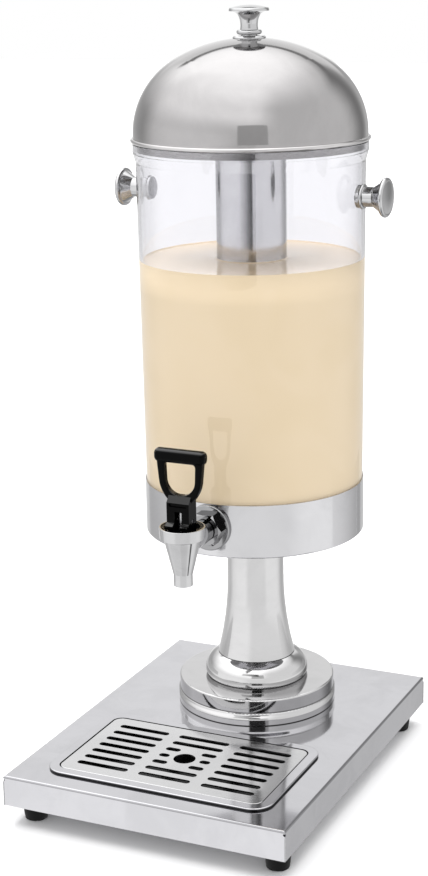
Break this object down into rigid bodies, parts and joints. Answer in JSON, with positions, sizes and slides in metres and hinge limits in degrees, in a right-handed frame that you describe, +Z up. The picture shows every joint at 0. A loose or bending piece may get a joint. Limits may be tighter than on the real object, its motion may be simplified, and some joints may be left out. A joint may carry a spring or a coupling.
{
  "type": "juice dispenser",
  "caption": "Catering juice dispenser: clear round tank with a steel ice tube and domed lid, on a column over a slotted drip tray, served through a self-closing lever tap.",
  "frame": {"origin": "on the floor, in the middle of the overall width and depth", "axes": "+Z up, +X to the right seen from the tap side, +Y to the back; the tap faces -Y"},
  "size_m": [0.248, 0.3312, 0.6446],
  "materials": {
    "satin_steel": "satin stainless sheet",
    "polished_steel": "polished spun stainless",
    "chrome_trim": "bright chrome",
    "fastener_steel": "plain stainless",
    "clear_plastic": "clear, polished",
    "black_plastic": "moulded, glossy",
    "black_rubber": "matte",
    "silicone": "matte, milky"
  },
  "bodies": {
    "dispenser": {"base_pan": "satin_steel", "base_stiffener": "satin_steel", "foot_front_left": "black_rubber", "foot_front_right": "black_rubber", "foot_back_left": "black_rubber", "foot_back_right": "black_rubber", "foot_screws": "fastener_steel", "foot_nuts": "fastener_steel", "column_foot": "polished_steel", "column_collar": "polished_steel", "column": "polished_steel", "tie_rod": "fastener_steel", "tie_rod_washer": "fastener_steel", "tie_rod_nut": "fastener_steel", "tank_cup": "satin_steel", "tank": "clear_plastic", "tank_seal": "silicone", "ice_tube": "satin_steel", "side_knob_right": "chrome_trim", "side_knob_left": "chrome_trim", "tap_body": "chrome_trim", "tap_escutcheon": "chrome_trim", "tap_lock_nut": "chrome_trim", "tap_inner_gasket": "silicone", "tap_inner_nut": "chrome_trim", "tap_bonnet": "black_plastic", "tap_spring": "fastener_steel"},
    "lid": {"lid_dome": "polished_steel", "lid_knob": "chrome_trim", "lid_knob_screw": "fastener_steel", "lid_knob_washer": "silicone"},
    "tap_stem": {"tap_stem": "fastener_steel", "tap_seat_cup": "silicone"},
    "tap_lever": {"tap_lever": "black_plastic", "tap_lever_pin": "fastener_steel"},
    "drip_tray": {"drip_tray": "satin_steel"},
    "drip_grid": {"drip_grid": "satin_steel"}
  },
  "joints": [
    {"name": "lid_lift", "type": "slide", "parent": "dispenser", "child": "lid", "axis": [0, 0, 1], "range_m": [0, 0.15]},
    {"name": "tap_stem_lift", "type": "slide", "parent": "dispenser", "child": "tap_stem", "axis": [0, 0, 1], "range_m": [0, 0.00315], "deforming": ["tap_spring"]},
    {"name": "tap_lever_pull", "type": "hinge", "parent": "tap_stem", "child": "tap_lever", "pos_m": [0, -0.07774, 0.2501], "axis": [1, 0, 0], "range_deg": [0, 40], "stiffness_Nm_per_rad": 0.03, "springref_deg": -25.21},
    {"name": "drip_tray_lift", "type": "slide", "parent": "dispenser", "child": "drip_tray", "axis": [0, 0, 1], "range_m": [0, 0.06]},
    {"name": "drip_grid_lift", "type": "slide", "parent": "drip_tray", "child": "drip_grid", "axis": [0, 0, 1], "range_m": [0, 0.04]}
  ],
  "couplings": [
    {"joint": "tap_stem_lift", "follows": "tap_lever_pull", "m_per_rad": 0.0045}
  ]
}
